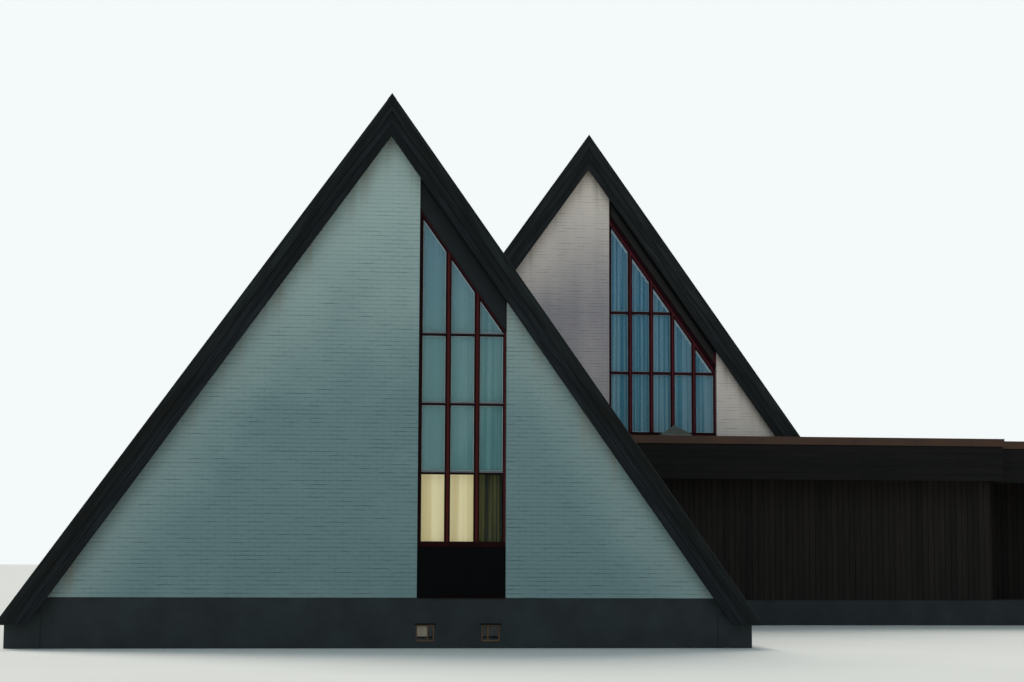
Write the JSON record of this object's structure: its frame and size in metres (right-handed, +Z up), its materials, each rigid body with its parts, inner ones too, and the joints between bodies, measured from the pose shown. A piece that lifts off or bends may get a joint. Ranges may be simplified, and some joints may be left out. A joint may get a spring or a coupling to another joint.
{
  "type": "modern church building",
  "caption": "Modern church with two steep gabled halls of white-painted brick, tall red window strips and a low flat-roofed block.",
  "frame": {"origin": "on the ground, under the middle of the bounding box of the plan", "axes": "+X to the right along the street front, +Y back from the street front along both ridges, +Z up"},
  "size_m": [27.0794, 27.4284, 12.1068],
  "materials": {
    "painted_brick": "white masonry paint, matte",
    "dark_boards": "black-stained boards",
    "brown_boards": "brown-black stained boards",
    "red_frames": "dark red paint",
    "window_glass": "clear float glass",
    "curtains": "pale pleated cloth",
    "concrete": "painted concrete, weathered",
    "roof_tiles": "dark flat tiles",
    "roofing_felt": "mineral felt",
    "flashing": "brown coated sheet, dull",
    "glulam": "clear lacquer",
    "rooflight_shell": "weathered acrylic"
  },
  "bodies": {
    "root": {"front_hall_plinth_front": "concrete", "front_hall_plinth_left": "concrete", "front_hall_plinth_right": "concrete", "front_hall_basement_window_left": "window_glass", "front_hall_basement_window_right": "window_glass", "front_hall_floor": "concrete", "front_hall_front_wall_left": "painted_brick", "front_hall_front_wall_right": "painted_brick", "front_hall_front_spandrel": "dark_boards", "front_hall_front_apron": "dark_boards", "front_hall_front_window_frame": "red_frames", "front_hall_front_window_glass": "window_glass", "front_hall_front_curtain": "curtains", "front_hall_back_wall": "painted_brick", "front_hall_roof_left": "roof_tiles", "front_hall_roof_right": "roof_tiles", "front_hall_front_bargeboard_left": "dark_boards", "front_hall_front_bargeboard_right": "dark_boards", "front_hall_back_bargeboard_left": "dark_boards", "front_hall_back_bargeboard_right": "dark_boards", "rear_hall_front_wall_left": "painted_brick", "rear_hall_front_wall_right": "painted_brick", "rear_hall_front_spandrel": "dark_boards", "rear_hall_front_apron": "dark_boards", "rear_hall_front_window_frame": "red_frames", "rear_hall_front_window_glass": "window_glass", "rear_hall_front_curtain": "curtains", "rear_hall_back_wall": "painted_brick", "rear_hall_back_window_frame": "red_frames", "rear_hall_back_window_glass": "window_glass", "rear_hall_roof_left": "roof_tiles", "rear_hall_roof_right": "roof_tiles", "rear_hall_front_bargeboard_left": "dark_boards", "rear_hall_front_bargeboard_right": "dark_boards", "rear_hall_back_bargeboard_left": "dark_boards", "rear_hall_back_bargeboard_right": "dark_boards", "link_wall_left": "brown_boards", "link_wall_right": "brown_boards", "block_base": "concrete", "block_front_wall": "brown_boards", "block_porch_wall": "brown_boards", "block_end_wall": "brown_boards", "block_back_wall": "brown_boards", "block_left_wall": "brown_boards", "block_hall_beam": "glulam", "block_roof_front": "roofing_felt", "block_roof_right": "roofing_felt", "block_roof_back": "roofing_felt", "block_rooflight": "rooflight_shell", "block_fascia_front": "brown_boards", "block_fascia_step": "brown_boards", "block_fascia_right": "brown_boards", "block_fascia_back": "brown_boards", "block_roof_flashing": "flashing"}
  },
  "joints": []
}
